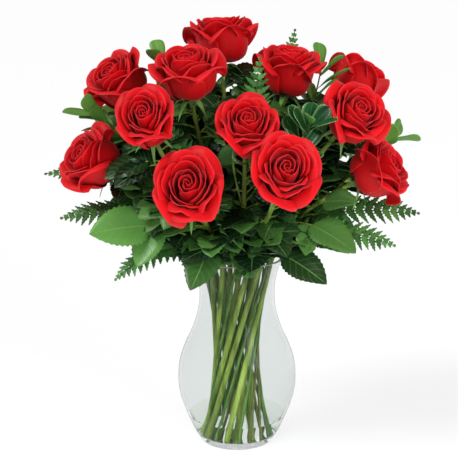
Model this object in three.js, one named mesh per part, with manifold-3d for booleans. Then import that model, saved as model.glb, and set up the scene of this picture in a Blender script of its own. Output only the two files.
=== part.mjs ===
// A dozen long-stemmed red roses with leatherleaf fern, pittosporum and their own leaves, standing
// in water in a flared clear glass vase. Millimetres, +Z up, +Y away from the front.
// The origin is the centre of the vase's underside.
import * as THREE from "three";
import { mergeVertices } from "three/addons/utils/BufferGeometryUtils.js";
import Module from "manifold-3d";

const wasm = await Module();
wasm.setup();
const { Manifold, Mesh: SolidMesh } = wasm;
const vec = (x, y, z) => new THREE.Vector3(x, y, z);
const UP = vec(0, 0, 1);
const rad = THREE.MathUtils.degToRad;

// ---- Driving dimensions ----

const GAP = 0.35; // left between pieces that rest on each other
const CLEARANCE = 0.4; // left between foliage and its neighbours

// Vase: outer outline from the foot up, as [height, radius], and its glass.
const VASE_OUTLINE = [
  [0, 37], [1.5, 44], [14, 52.5], [40, 64], [64, 72], [84, 74], [106, 72], [126, 65.5],
  [150, 55], [176, 48], [202, 47], [222, 50.5], [238, 56],
];
const VASE_HEIGHT = VASE_OUTLINE.at(-1)[0];
const VASE_WALL = 3;
const VASE_FLOOR = 10;
const VASE_SIDES = 24;
const WATER_LEVEL = 40;

// Stems cross in the vase as three nested rings of straight canes, all leaning the same way.
// foot, waist and neck are ring radii; first is the bearing of place 0 at the neck.
const RINGS = {
  outer: { places: 17, foot: 40.5, waist: 26.5, neck: 40, first: 74 },
  middle: { places: 10, foot: 31, waist: 16.5, neck: 30, first: 95 },
  inner: { places: 5, foot: 20, waist: 7, neck: 19, first: 99 },
};
const NECK_HEIGHT = 225;
// Canes: radius, sides, and lengths that a cane is built of, the first of them its straight part.
const ROSE_CANE = { radius: 3.7, sides: 5, steps: 6 };
const GREEN_CANE = { radius: 1.9, sides: 4, steps: 5 };

// Roses: middle of the head, the way it faces, its size across, up its face and from foot to top,
// its turn about itself, and its stem's place.
const ROSES = [
  { head: [-19, 60, 503], faces: [-0.05, 0.05, 1], size: [1.0, 1.0, 1.0],
    turn: 20, ring: "inner", place: 1 },
  { head: [-58, -35, 470], faces: [-0.12, -0.3, 1], size: [0.95, 0.95, 0.98],
    turn: 55, ring: "inner", place: 2 },
  { head: [63, 30, 467], faces: [0.15, -0.12, 1], size: [0.95, 0.95, 1.0],
    turn: 5, ring: "middle", place: 8 },
  { head: [-145, 25, 453], faces: [-0.6, -0.35, 0.75], size: [0.95, 0.95, 0.95],
    turn: 40, ring: "middle", place: 2 },
  { head: [-103, -108, 424], faces: [-0.2, -0.7, 0.7], size: [0.75, 0.92, 0.86],
    turn: 15, ring: "outer", place: 7 },
  { head: [-172, -45, 367], faces: [-0.75, -0.35, 0.55], size: [0.94, 0.94, 0.94],
    turn: 70, ring: "outer", place: 5 },
  { head: [-54, -145, 352], faces: [-0.1, -0.8, 0.6], size: [0.88, 1.02, 0.92],
    turn: 10, ring: "outer", place: 8 },
  { head: [11, -85, 411], faces: [0.05, -0.6, 0.8], size: [0.82, 0.94, 0.9],
    turn: 35, ring: "middle", place: 5 },
  { head: [53, -135, 369], faces: [0.1, -0.8, 0.58], size: [0.84, 0.98, 0.9],
    turn: 60, ring: "outer", place: 10 },
  { head: [136, -60, 422], faces: [0.45, -0.65, 0.65], size: [0.87, 0.92, 0.92],
    turn: 25, ring: "outer", place: 11 },
  { head: [151, 85, 447], faces: [0.5, 0.4, 0.8], size: [0.87, 0.87, 0.9],
    turn: 80, ring: "middle", place: 9 },
  { head: [168, -35, 355], faces: [0.8, -0.25, 0.5], size: [0.96, 0.96, 0.96],
    turn: 45, ring: "outer", place: 13 },
];
const HEAD_MIDDLE = 31; // from the foot of a head to its middle, at size 1

// Petals of a head at size 1: how many, half-width in degrees, middle line as [radius, height]
// control points, how far the free edge rolls back, and where its rows of points lie along it.
const PETAL_LAYERS = [
  { count: 5, half: 54, line: [[5, 4], [37, 1], [29, 38], [45, 50]], roll: 10, rows: [0.26, 0.65, 1] },
  { count: 4, half: 60, line: [[5, 9], [25, 6], [25, 40], [27, 58]], roll: 5, rows: [0.4, 1] },
];
const PETAL_CLAW = 10; // half-width in degrees of a petal's narrow foot
const PETAL_LAP = 2.2; // how far one edge stands over the next petal and the other under it
const PETAL_CELLS_ACROSS = 3;
const PETAL_THICK = 0.8;
const HEART_LINE = [[7, 0], [16, 17], [17, 42], [8, 58]];
const HEART_SIDES = 5;
const HEART_STEP = 0.2; // how far each rolled petal of the heart stands over the next
const HIP_RADIUS = 7.5;
const HIP_LENGTH = 12;
const SEPALS = 5;
const SEPAL_REACH = 27;
const SEPAL_DROOP = 12;

// Pittosporum sprigs: tip, the way the tip grows, and the stem's place.
const PITTOSPORUM = [
  { tip: [-90, 35, 472], grows: [-0.2, 0, 1], ring: "middle", place: 1 },
  { tip: [-166, 5, 412], grows: [-0.8, 0, 0.6], ring: "middle", place: 3 },
  { tip: [190, 32, 380], grows: [0.9, 0.2, 0.5], ring: "outer", place: 15 },
  { tip: [84, -78, 415], grows: [0.2, -0.6, 0.8], ring: "middle", place: 6 },
  { tip: [104, 55, 462], grows: [0.2, 0.1, 1], ring: "middle", place: 7 },
  { tip: [-45, 120, 435], grows: [-0.2, 0.6, 0.9], ring: "middle", place: 0 },
  { tip: [-140, 100, 385], grows: [-0.7, 0.6, 0.5], ring: "outer", place: 2 },
  { tip: [100, 125, 390], grows: [0.5, 0.8, 0.6], ring: "outer", place: 16 },
];
const PITTOSPORUM_LEAF = { length: 45, width: 22 };
const PITTOSPORUM_LEAVES = 5;

// Fern fronds: tip, the way the tip grows, the way the upper face looks, blade length and half-width.
const FERNS = [
  { tip: [74, 92, 514], grows: [0.2, 0.1, 1], face: [0, -1, 0.2],
    blade: 120, half: 26, ring: "inner", place: 4 },
  { tip: [27, -22, 490], grows: [0.15, 0, 1], face: [0, -1, 0.2],
    blade: 130, half: 30, ring: "inner", place: 3 },
  { tip: [-236, -15, 345], grows: [-1, 0, -0.15], face: [-0.1, -0.6, 1],
    blade: 130, half: 32, ring: "outer", place: 3 },
  { tip: [-212, -62, 300], grows: [-1, -0.2, -0.25], face: [-0.2, -0.7, 1],
    blade: 130, half: 38, ring: "outer", place: 4 },
  { tip: [-145, -95, 232], grows: [-0.7, -0.3, -0.8], face: [-0.5, -0.8, 0.6],
    blade: 120, half: 32, ring: "outer", place: 6 },
  { tip: [224, -20, 297], grows: [1, -0.1, -0.2], face: [0.1, -0.8, 1],
    blade: 130, half: 38, ring: "outer", place: 14 },
  { tip: [188, -78, 270], grows: [0.9, -0.3, -0.35], face: [0.1, -0.9, 0.8],
    blade: 120, half: 34, ring: "outer", place: 12 },
  { tip: [-80, -78, 418], grows: [-0.5, -0.2, 1], face: [-0.2, -1, 0.3],
    blade: 120, half: 30, ring: "middle", place: 4 },
  { tip: [15, -100, 238], grows: [0.1, -0.8, -0.6], face: [0, -0.9, 0.7],
    blade: 80, half: 34, ring: "outer", place: 9 },
  { tip: [15, 145, 465], grows: [0.1, 0.5, 1], face: [0, 1, 0.3],
    blade: 140, half: 36, ring: "inner", place: 0 },
  { tip: [125, 165, 290], grows: [0.6, 0.8, -0.2], face: [0.3, 0.3, 1],
    blade: 140, half: 38, ring: "outer", place: 0 },
  { tip: [-100, 165, 300], grows: [-0.5, 0.9, -0.1], face: [-0.3, 0.3, 1],
    blade: 140, half: 38, ring: "outer", place: 1 },
];
const PINNA_PAIRS = 6;
const BLADE_THICK = 0.8;

// Rose leaves: the rose whose stem bears them, how far up its free stem, tip, size and upper face.
const ROSE_LEAVES = [
  { rose: 7, at: 0.22, tip: [-172, -98, 290], width: 46, face: [-0.2, -0.7, 0.8] },
  { rose: 5, at: 0.2, tip: [-55, -112, 226], width: 40, face: [-0.1, -1, 0.4] },
  { rose: 9, at: 0.2, tip: [104, -100, 230], width: 38, face: [0.3, -0.9, 0.5] },
  { rose: 10, at: 0.3, tip: [138, -92, 266], width: 44, face: [0.2, -0.8, 0.7] },
  { rose: 12, at: 0.45, tip: [140, -72, 322], width: 34, face: [0.2, -0.8, 0.7] },
  { rose: 6, at: 0.5, tip: [-134, -85, 350], width: 36, face: [-0.3, -0.8, 0.6] },
  { rose: 8, at: 0.45, tip: [-4, -118, 392], width: 34, face: [0, -0.9, 0.5] },
  { rose: 4, at: 0.3, tip: [-120, 110, 330], width: 42, face: [-0.4, 0.6, 0.8] },
  { rose: 11, at: 0.35, tip: [165, 95, 350], width: 42, face: [0.4, 0.5, 0.8] },
  { rose: 1, at: 0.3, tip: [-30, 130, 350], width: 42, face: [0, 0.8, 0.7] },
  { rose: 3, at: 0.4, tip: [60, 125, 330], width: 42, face: [0.2, 0.8, 0.7] },
];

// ---- Shared shapes ----

// The same number between 0 and 1 for the same pair, for small natural differences.
function scatter(a, b) {
  const s = Math.sin(a * 12.9898 + b * 78.233) * 43758.5453;
  return s - Math.floor(s);
}

function bezier(points, t) {
  const s = 1 - t;
  const weights = [s * s * s, 3 * s * s * t, 3 * s * t * t, t * t * t];
  return points[0].map((_, axis) => weights.reduce((sum, w, i) => sum + w * points[i][axis], 0));
}

// A three.js geometry as a solid.
function solidOf(geometry) {
  const bare = geometry.index ? geometry.toNonIndexed() : geometry.clone();
  bare.deleteAttribute("normal");
  bare.deleteAttribute("uv");
  const merged = mergeVertices(bare, 1e-3);
  return new Manifold(
    new SolidMesh({
      numProp: 3,
      vertProperties: merged.attributes.position.array,
      triVerts: new Uint32Array(merged.index.array),
    }),
  );
}

function solidFrom(points, faces) {
  return new Manifold(
    new SolidMesh({
      numProp: 3,
      vertProperties: new Float32Array(points.flatMap((p) => [p.x, p.y, p.z])),
      triVerts: new Uint32Array(faces.flat()),
    }),
  );
}

function geometryOf(solid) {
  const mesh = solid.getMesh();
  const geometry = new THREE.BufferGeometry();
  geometry.setAttribute("position", new THREE.BufferAttribute(mesh.vertProperties, 3));
  geometry.setIndex(new THREE.BufferAttribute(mesh.triVerts, 1));
  geometry.computeVertexNormals();
  return geometry;
}

// A shape turned about the Z axis from [radius, height] points.
function turned(points, sides) {
  const outline = points.map(([r, z]) => new THREE.Vector2(r, z));
  const geometry = new THREE.LatheGeometry(outline, sides);
  geometry.rotateX(Math.PI / 2);
  return solidOf(geometry);
}

// A thin blade: a middle surface split into triangles, thickened alike to both sides.
function blade(points, faces, thickness) {
  const normals = points.map(() => vec(0, 0, 0));
  for (const face of faces) {
    const [a, b, c] = face.map((i) => points[i]);
    const normal = b.clone().sub(a).cross(c.clone().sub(a));
    face.forEach((i) => normals[i].add(normal));
  }
  const half = thickness / 2;
  const upper = points.map((p, i) => p.clone().addScaledVector(normals[i].normalize(), half));
  const lower = points.map((p, i) => p.clone().addScaledVector(normals[i], -half));
  const n = points.length;
  const closed = [];
  const edges = new Set(faces.flatMap(([a, b, c]) => [a * n + b, b * n + c, c * n + a]));
  for (const [a, b, c] of faces) {
    closed.push([a, b, c], [c + n, b + n, a + n]);
    for (const [from, to] of [[a, b], [b, c], [c, a]]) {
      if (edges.has(to * n + from)) continue;
      closed.push([to, from, from + n], [to, from + n, to + n]);
    }
  }
  return solidFrom([...upper, ...lower], closed);
}

// Triangles of a grid of points, rows by columns.
function gridFaces(rows, columns) {
  const faces = [];
  for (let r = 0; r < rows - 1; r++) {
    for (let c = 0; c < columns - 1; c++) {
      const a = r * columns + c;
      const b = a + columns;
      faces.push([a, a + 1, b + 1], [a, b + 1, b]);
    }
  }
  return faces;
}

// ---- Stems ----

// A cane: straight from its foot in the vase to the neck, then one bow to its end.
class StemLine extends THREE.Curve {
  constructor(foot, neck, end, endWay, steps) {
    super();
    this.upTo = 1;
    const reach = neck.distanceTo(end);
    const lean = neck.clone().sub(foot).normalize();
    this.straight = new THREE.LineCurve3(foot, neck);
    this.bow = new THREE.CubicBezierCurve3(
      neck,
      neck.clone().addScaledVector(lean, reach * 0.38),
      end.clone().addScaledVector(endWay, -reach * 0.38),
      end,
    );
    this.share = 1 / steps;
  }
  getPoint(t, target = vec()) {
    if (t <= this.share) return target.copy(this.straight.getPoint(t / this.share));
    return target.copy(this.bow.getPoint((this.upTo * (t - this.share)) / (1 - this.share)));
  }
  getPointAt(t, target) {
    return this.getPoint(t, target);
  }
  getTangentAt(t, target) {
    return this.getTangent(t, target);
  }
}

const ringPoint = (radius, bearing, z) =>
  vec(radius * Math.cos(bearing), radius * Math.sin(bearing), z);

// Foot and neck of the stem at one place of a ring.
function stemFeet(ringName, place, radius) {
  const ring = RINGS[ringName];
  const twist = Math.acos(ring.waist / ring.foot) + Math.acos(ring.waist / ring.neck);
  const bearing = rad(ring.first) + (place / ring.places) * 2 * Math.PI;
  const neck = ringPoint(ring.neck, bearing, NECK_HEIGHT);
  const foot = ringPoint(ring.foot, bearing - twist, VASE_FLOOR);
  const slope = Math.hypot(neck.x - foot.x, neck.y - foot.y) / NECK_HEIGHT;
  foot.z += GAP + radius * slope;
  return { foot, neck };
}

const roundSection = (radius, sides) => {
  const corners = Array.from({ length: sides }, (_, i) => (i / sides) * 2 * Math.PI);
  return new THREE.Shape(corners.map((a) => new THREE.Vector2(radius * Math.cos(a), radius * Math.sin(a))));
};

function tube(line, radius, sides, steps) {
  const options = { steps, extrudePath: line, bevelEnabled: false };
  return solidOf(new THREE.ExtrudeGeometry(roundSection(radius, sides), options));
}

// Bows a stem aside and upwards, by more and more, until it is clear of its neighbours.
const BOWS = [0, 8, -8, 16, -16, 26, -26, 38, -38, 50, -50];
const LIFTS = [0, 14, -14, 30];
function clearStem(row, end, endWay, build, neighbours) {
  const { foot, neck } = stemFeet(row.ring, row.place, build.radius);
  const aside = end.clone().sub(neck).cross(UP).normalize();
  const bowed = (bow, lift) => {
    const line = new StemLine(foot, neck, end, endWay, build.steps);
    line.bow.v1.addScaledVector(aside, bow);
    line.bow.v2.addScaledVector(aside, bow * 0.6).addScaledVector(UP, lift);
    if (row.blade) line.upTo = bladeStart(line, row) + 0.04;
    return { line, foot, neck, ...build, solid: tube(line, build.radius, build.sides, build.steps) };
  };
  for (const lift of LIFTS) {
    for (const bow of BOWS) {
      const stem = bowed(bow, lift);
      if (isClear(stem.solid, neighbours)) return stem;
    }
  }
  return bowed(0, 0);
}

const near = (a, b) =>
  [0, 1, 2].every((i) => a.min[i] < b.max[i] + CLEARANCE && b.min[i] < a.max[i] + CLEARANCE);

// True where a solid keeps its clearance to every solid of a list.
function isClear(solid, neighbours) {
  const box = solid.boundingBox();
  return neighbours.every(
    (other) => !near(box, other.box) || solid.minGap(other.solid, CLEARANCE) >= CLEARANCE,
  );
}

// ---- Rose heads ----

// A point of a petal: u across it from -1 to 1, v along it from 0 to 1. One edge stands out over
// the next petal and the other in under it, square to the petal's own slope.
function petalPoint(layer, petal, rose, u, v) {
  const bearing = rad((petal * 360) / layer.count + rose.turn + layer.half + u * layer.half);
  const along = v * (1 - 0.2 * Math.abs(u) ** 2.4);
  const [radius, height] = bezier(layer.line, along);
  const [nextRadius, nextHeight] = bezier(layer.line, along + 0.01);
  const slope = Math.atan2(nextHeight - height, nextRadius - radius);
  const roll = v ** 3 * layer.roll * (u > 0 ? u * u : 0.15 * u * u);
  const wave = v * v * 1.2 * Math.sin(7 * u + 6 * scatter(petal, rose.turn));
  const r = radius + PETAL_LAP * u * Math.sin(slope) + roll;
  const z = height - PETAL_LAP * u * Math.cos(slope) - 0.7 * roll + wave;
  return vec(r * Math.cos(bearing), r * Math.sin(bearing), z);
}

// A petal widens from a narrow claw to its full width at its first row.
function petalBlade(layer, petal, rose) {
  const across = PETAL_CELLS_ACROSS;
  const claw = PETAL_CLAW / layer.half;
  const points = layer.rows.flatMap((v) =>
    Array.from({ length: across + 1 }, (_, i) => petalPoint(layer, petal, rose, (2 * i) / across - 1, v)),
  );
  const left = points.push(petalPoint(layer, petal, rose, -claw, 0)) - 1;
  const right = points.push(petalPoint(layer, petal, rose, claw, 0)) - 1;
  const middle = Math.ceil(across / 2);
  const faces = gridFaces(layer.rows.length, across + 1);
  faces.push([left, right, middle]);
  for (let i = 0; i < across; i++) faces.push([i < middle ? left : right, i + 1, i]);
  return blade(points, faces, PETAL_THICK);
}

// The closed middle of a head: three rolled petals, each standing over the next in a spiral.
function heart() {
  const points = [];
  HEART_LINE.forEach(([radius, height], row) => {
    for (let side = 0; side < HEART_SIDES; side++) {
      const turn = side / HEART_SIDES;
      const over = (3 * turn + 0.25 * row) % 1;
      const r = radius * (1 + HEART_STEP * (row ? over - 0.5 : 0));
      const bearing = turn * 2 * Math.PI;
      points.push(vec(r * Math.cos(bearing), r * Math.sin(bearing), height));
    }
  });
  const foot = points.push(vec(0, 0, HEART_LINE[0][1])) - 1;
  const top = points.push(vec(0, 0, HEART_LINE.at(-1)[1] - 3)) - 1;
  const faces = [];
  const last = (HEART_LINE.length - 1) * HEART_SIDES;
  for (let side = 0; side < HEART_SIDES; side++) {
    const next = (side + 1) % HEART_SIDES;
    faces.push([foot, next, side], [top, last + side, last + next]);
    for (let row = 0; row < last; row += HEART_SIDES) {
      faces.push([row + side, row + next, row + next + HEART_SIDES]);
      faces.push([row + side, row + next + HEART_SIDES, row + side + HEART_SIDES]);
    }
  }
  return solidFrom(points, faces);
}

// Where a head stands: its foot, its facing, and its turn from upright.
function headPlace(rose) {
  const facing = vec(...rose.faces).normalize();
  const foot = vec(...rose.head).addScaledVector(facing, -HEAD_MIDDLE * rose.size[2]);
  const turn = new THREE.Quaternion().setFromUnitVectors(UP, facing);
  return { foot, facing, turn };
}

function roseHead(rose) {
  let solid = heart();
  for (const layer of PETAL_LAYERS) {
    for (let petal = 0; petal < layer.count; petal++) {
      solid = solid.add(petalBlade(layer, petal, rose));
    }
  }
  return solid;
}

// ---- Rose stems ----

// The green hip under a head, and the star of sepals that hangs from its rim, in the head's frame.
function hipWithSepals() {
  const ring = (radius, height, shift) =>
    Array.from({ length: SEPALS }, (_, i) => {
      const bearing = ((i + shift) / SEPALS) * 2 * Math.PI;
      return vec(radius * Math.cos(bearing), radius * Math.sin(bearing), height);
    });
  const points = [
    vec(0, 0, -GAP),
    vec(0, 0, -HIP_LENGTH),
    ...ring(HIP_RADIUS, -1.5, 0),
    ...ring(HIP_RADIUS, -4, 0),
    ...ring(SEPAL_REACH, -SEPAL_DROOP, 0.5),
    ...ring(ROSE_CANE.radius * 0.6, -HIP_LENGTH, 0),
  ];
  const faces = [];
  for (let i = 0; i < SEPALS; i++) {
    const next = (i + 1) % SEPALS;
    const [upper, lower, tip, heel] = [0, 1, 2, 3].map((row) => 2 + row * SEPALS + i);
    const [upperNext, lowerNext, , heelNext] = [0, 1, 2, 3].map((row) => 2 + row * SEPALS + next);
    faces.push([0, upper, tip], [0, tip, upperNext], [lower, lowerNext, tip]);
    faces.push([upper, lower, tip], [lowerNext, upperNext, tip]);
    faces.push([lower, heel, heelNext], [lower, heelNext, lowerNext], [1, heelNext, heel]);
  }
  return solidFrom(points, faces);
}

// ---- Leaves ----

// Points along a leaf: [share of its length, share of its half-width].
const ROSE_LEAF_EDGE = [[0.3, 0.05], [0.42, 0.78], [0.52, 1], [0.58, 0.86], [0.74, 0.84], [0.8, 0.62]];
const PITTOSPORUM_EDGE = [[0.45, 0.72], [0.8, 0.95]];

// A leaf on a bowed midrib, folded a little along it. Its edge rows may step in and out as teeth.
function leafBlade(midrib, edge, halfWidth, face, thickness) {
  const points = [midrib.getPoint(0)];
  for (const [t, share] of edge) {
    const middle = midrib.getPoint(t);
    const along = midrib.getTangent(t);
    const side = along.clone().cross(face).normalize();
    const up = side.clone().cross(along).normalize();
    const w = halfWidth * share;
    points.push(middle.clone().addScaledVector(side, -w).addScaledVector(up, 0.22 * w));
    points.push(middle);
    points.push(middle.clone().addScaledVector(side, w).addScaledVector(up, 0.22 * w));
  }
  points.push(midrib.getPoint(1));
  const tip = points.length - 1;
  const faces = [[0, 2, 1], [0, 3, 2], [tip, tip - 3, tip - 2], [tip, tip - 2, tip - 1]];
  for (const [a, b, c] of gridFaces(edge.length, 3)) faces.push([a + 1, b + 1, c + 1]);
  return blade(points, faces, thickness);
}

// The middle of a cane at t along its bow, on the straight stretches that it is built of.
function onCane(line, t) {
  const stretches = 1 / line.share - 1;
  const i = Math.min(Math.floor(t * stretches), stretches - 1);
  return line.bow.getPoint(i / stretches).lerp(line.bow.getPoint((i + 1) / stretches), t * stretches - i);
}

// Tries the ways a leaf may turn, widest first, until it hangs clear of its neighbours.
const TURNS = [0, 25, -25, 50, -50, 80, -80];
const SIZES = [1, 0.75, 0.55];
function firstClear(make, neighbours) {
  for (const size of SIZES) {
    for (const turn of TURNS) {
      const solid = make(rad(turn), size);
      if (isClear(solid, neighbours)) return solid;
    }
  }
  return null;
}

function roseLeaf(row, line, neighbours) {
  const start = onCane(line, row.at);
  const tip = vec(...row.tip);
  return firstClear((turn, size) => {
    const end = start.clone().lerp(tip, size);
    const rise = start.distanceTo(end) * 0.25;
    const middle = start.clone().lerp(end, 0.5).addScaledVector(UP, rise);
    middle.addScaledVector(end.clone().sub(start).cross(UP).normalize(), rise * Math.sin(turn));
    const midrib = new THREE.QuadraticBezierCurve3(start, middle, end);
    return leafBlade(midrib, ROSE_LEAF_EDGE, (row.width / 2) * size, vec(...row.face), BLADE_THICK);
  }, neighbours);
}

// Leaves stand round a pittosporum twig in a spiral, crowded towards its tip.
function pittosporumLeaf(line, index, seed, neighbours) {
  const share = index / (PITTOSPORUM_LEAVES - 1);
  const start = onCane(line, 0.995 - 0.3 * share * share);
  const along = line.bow.getTangent(0.99);
  const across = along.clone().cross(Math.abs(along.z) > 0.9 ? vec(1, 0, 0) : UP).normalize();
  return firstClear((turn, size) => {
    const bearing = rad(137.5 * index + 90 * scatter(seed, 1)) + turn;
    const out = across.clone().applyAxisAngle(along, bearing);
    const open = 0.45 + 0.45 * share;
    const way = along.clone().multiplyScalar(1 - open * 0.6).addScaledVector(out, open).normalize();
    const length = PITTOSPORUM_LEAF.length * size * (0.85 + 0.3 * scatter(seed, index));
    const end = start.clone().addScaledVector(way, length);
    const middle = start.clone().addScaledVector(way, length / 2).addScaledVector(along, length * 0.09);
    const midrib = new THREE.QuadraticBezierCurve3(start, middle, end);
    return leafBlade(midrib, PITTOSPORUM_EDGE, (PITTOSPORUM_LEAF.width / 2) * size, along, BLADE_THICK);
  }, neighbours);
}

// ---- Fern fronds ----

// Where the blade of a frond starts on its stem, as a share of the bow.
const bladeStart = (line, row) => Math.max(0.15, 1 - row.blade / line.bow.getLength());

// A point of a frond, from its rib at t: so far forwards and so far out to a side, drooping outwards.
function frondPoint(rib, t, face, forward, out) {
  const along = rib.getTangent(t);
  const across = along.clone().cross(face).normalize();
  const up = across.clone().cross(along);
  const point = rib.getPoint(t).addScaledVector(along, forward);
  return point.addScaledVector(across, out).addScaledVector(up, -0.15 * Math.abs(out));
}

const PINNA_SIZES = [1, 0.75, 0.5, 0.25];
const RIB_HALF = 1.4;

// The free corners of one pinna of a frond, from its lower notch round its tip.
function pinnaCorners(rib, row, pair, side, size) {
  const t = pair / PINNA_PAIRS;
  const step = rib.getLength() / PINNA_PAIRS;
  const reach = row.half * size * Math.min(1, 2.4 * (1 - t)) * (0.45 + 0.55 * (1 - t));
  const at = (forward, out) => frondPoint(rib, t, row.face, forward, side * out);
  return [
    at(0.12 * reach, 0.5 * reach),
    at(0.55 * reach + 0.3 * step, reach),
    at(0.3 * reach + 0.55 * step, 0.45 * reach),
  ];
}

// A frond is one thin arched blade, cut to its rib into pinnae. A pinna that would touch a
// neighbour is a shorter one.
function frond(row, line, neighbours) {
  const from = bladeStart(line, row);
  const stretch = [0, 0.33, 0.66, 1].map((t) => line.bow.getPoint(from + (1 - from) * t));
  const rib = new THREE.CatmullRomCurve3(stretch);
  const points = [];
  const faces = [];
  for (let pair = 0; pair < PINNA_PAIRS; pair++) {
    for (const out of [-RIB_HALF, RIB_HALF]) {
      points.push(frondPoint(rib, pair / PINNA_PAIRS, row.face, 0, out));
    }
  }
  const tip = points.push(rib.getPoint(1)) - 1;
  const notch = (pair, side) => (pair === PINNA_PAIRS ? tip : 2 * pair + (side > 0 ? 1 : 0));
  for (let pair = 0; pair < PINNA_PAIRS; pair++) {
    faces.push([notch(pair, -1), notch(pair, 1), notch(pair + 1, 1)]);
    if (pair < PINNA_PAIRS - 1) faces.push([notch(pair, -1), notch(pair + 1, 1), notch(pair + 1, -1)]);
    for (const side of [-1, 1]) {
      const [low, high] = [notch(pair, side), notch(pair + 1, side)];
      const corners = PINNA_SIZES.map((size) => pinnaCorners(rib, row, pair, side, size)).find((free) => {
        const loop = [points[low], ...free, points[high]];
        return isClear(blade(loop, [[0, 1, 2], [0, 2, 3], [0, 3, 4]], BLADE_THICK), neighbours);
      });
      if (!corners) continue;
      const first = points.push(...corners) - 3;
      const loop = [[low, first, first + 1], [low, first + 1, first + 2], [low, first + 2, high]];
      faces.push(...(side > 0 ? loop : loop.map(([a, b, c]) => [a, c, b])));
    }
  }
  return blade(points, faces, BLADE_THICK);
}

// ---- The vase and its water ----

// The inside of the glass, a wall's thickness in from the outline, from its floor up.
function insideOutline(inset, floor, top) {
  const rows = VASE_OUTLINE.filter(([z], i) => z > floor + 2 && z < top - 2 && i % 2 === 1);
  const radiusAt = (height) => {
    const i = VASE_OUTLINE.findIndex(([z]) => z >= height);
    const [z0, r0] = VASE_OUTLINE[i - 1];
    const [z1, r1] = VASE_OUTLINE[i];
    return r0 + ((r1 - r0) * (height - z0)) / (z1 - z0) - inset;
  };
  return [[radiusAt(floor) - 1.5, floor], ...rows.map(([z, r]) => [r - inset, z]), [radiusAt(top), top]];
}

function vase() {
  const outside = VASE_OUTLINE.map(([z, r]) => [r, z]);
  const inside = insideOutline(VASE_WALL, VASE_FLOOR, VASE_HEIGHT).reverse();
  return turned([[0, 0], ...outside, ...inside, [0, VASE_FLOOR]], VASE_SIDES).simplify(0.001);
}

// The water, with a plain hole for every cane.
function water(stems) {
  const body = insideOutline(VASE_WALL + GAP, VASE_FLOOR + GAP, WATER_LEVEL);
  let solid = turned([[0, VASE_FLOOR + GAP], ...body, [0, WATER_LEVEL]], VASE_SIDES);
  for (const { foot, neck, radius, sides } of stems) {
    const lean = neck.clone().sub(foot).normalize();
    const line = new THREE.LineCurve3(foot.clone().addScaledVector(lean, -12), neck);
    solid = solid.subtract(tube(line, radius + GAP + 0.1, sides, 1));
  }
  return solid.simplify(0.001);
}

// ---- The bouquet put together ----

const root = new THREE.Group();
root.name = "roses_in_vase";
const placed = [];

function place(name, solid, look, matrix) {
  const material = new THREE.MeshStandardMaterial(look);
  material.name = name;
  const mesh = new THREE.Mesh(geometryOf(solid), material);
  mesh.name = name;
  if (matrix) mesh.applyMatrix4(matrix);
  root.add(mesh);
  const world = matrix ? solid.transform(matrix.elements) : solid;
  placed.push({ name, solid: world, box: world.boundingBox() });
}

const GLASS = { color: 0xe8f0ee, roughness: 0.05, transparent: true, opacity: 0.35 };
const WATER = { color: 0xe4efec, roughness: 0.02, transparent: true, opacity: 0.3 };
const PETAL = { color: 0xc0101c, roughness: 0.6 };
const STEM = { color: 0x4f7a2c, roughness: 0.6 };
const FERN = { color: 0x24602a, roughness: 0.6 };
const BROADLEAF = { color: 0x3f7a34, roughness: 0.45 };

const numbered = (word, index) => word + "_" + String(index + 1).padStart(2, "0");


place("vase", vase(), GLASS);

const headMatrices = ROSES.map((rose) => {
  const { foot, turn } = headPlace(rose);
  return new THREE.Matrix4().compose(foot, turn, vec(...rose.size));
});
ROSES.forEach((rose, i) => place(numbered("rose", i), roseHead(rose), PETAL, headMatrices[i]));

// Every cane is laid before any leaf grows on one, each clear of those before it.
const canes = [];
const others = (cane) => [...placed, ...canes.filter((other) => other !== cane)];

function lay(name, look, row, end, endWay, build, cap) {
  const stem = clearStem(row, end, endWay, build, others());
  const solid = cap ? stem.solid.add(cap) : stem.solid;
  canes.push({ ...stem, name, look, row, solid, box: solid.boundingBox() });
}

ROSES.forEach((rose, i) => {
  const { foot, facing } = headPlace(rose);
  const end = foot.clone().addScaledVector(facing, -HIP_LENGTH * 0.6 * rose.size[2]);
  const hip = hipWithSepals().transform(headMatrices[i].elements);
  lay(numbered("rose_stem", i), STEM, rose, end, facing, ROSE_CANE, hip);
});
const layGreen = (name, look, row) =>
  lay(name, look, row, vec(...row.tip), vec(...row.grows).normalize(), GREEN_CANE);
PITTOSPORUM.forEach((row, i) => layGreen(numbered("pittosporum", i), BROADLEAF, row));
FERNS.forEach((row, i) => layGreen(numbered("fern", i), FERN, row));

// The leaves of one cane, by its kind.
function foliage(cane, neighbours) {
  if (FERNS.includes(cane.row)) {
    const row = { ...cane.row, face: vec(...cane.row.face) };
    return [frond(row, cane.line, neighbours)];
  }
  if (PITTOSPORUM.includes(cane.row)) {
    const seed = PITTOSPORUM.indexOf(cane.row);
    return Array.from({ length: PITTOSPORUM_LEAVES }, (_, leaf) =>
      pittosporumLeaf(cane.line, leaf, seed, neighbours),
    );
  }
  const leaves = ROSE_LEAVES.filter(({ rose }) => ROSES[rose - 1] === cane.row);
  return leaves.map((row) => roseLeaf(row, cane.line, neighbours));
}

for (const cane of canes) {
  for (const leaf of foliage(cane, others(cane))) {
    if (leaf) cane.solid = cane.solid.add(leaf);
  }
  cane.box = cane.solid.boundingBox();
}
canes.forEach(({ name, solid, look }) => place(name, solid, look));

place("water", water(canes), WATER);

export default root;
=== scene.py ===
from collections import namedtuple
from math import acos, atan2, cos, pi, radians, sin
import bpy
import numpy as np
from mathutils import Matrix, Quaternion, Vector
from mathutils.bvhtree import BVHTree


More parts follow.
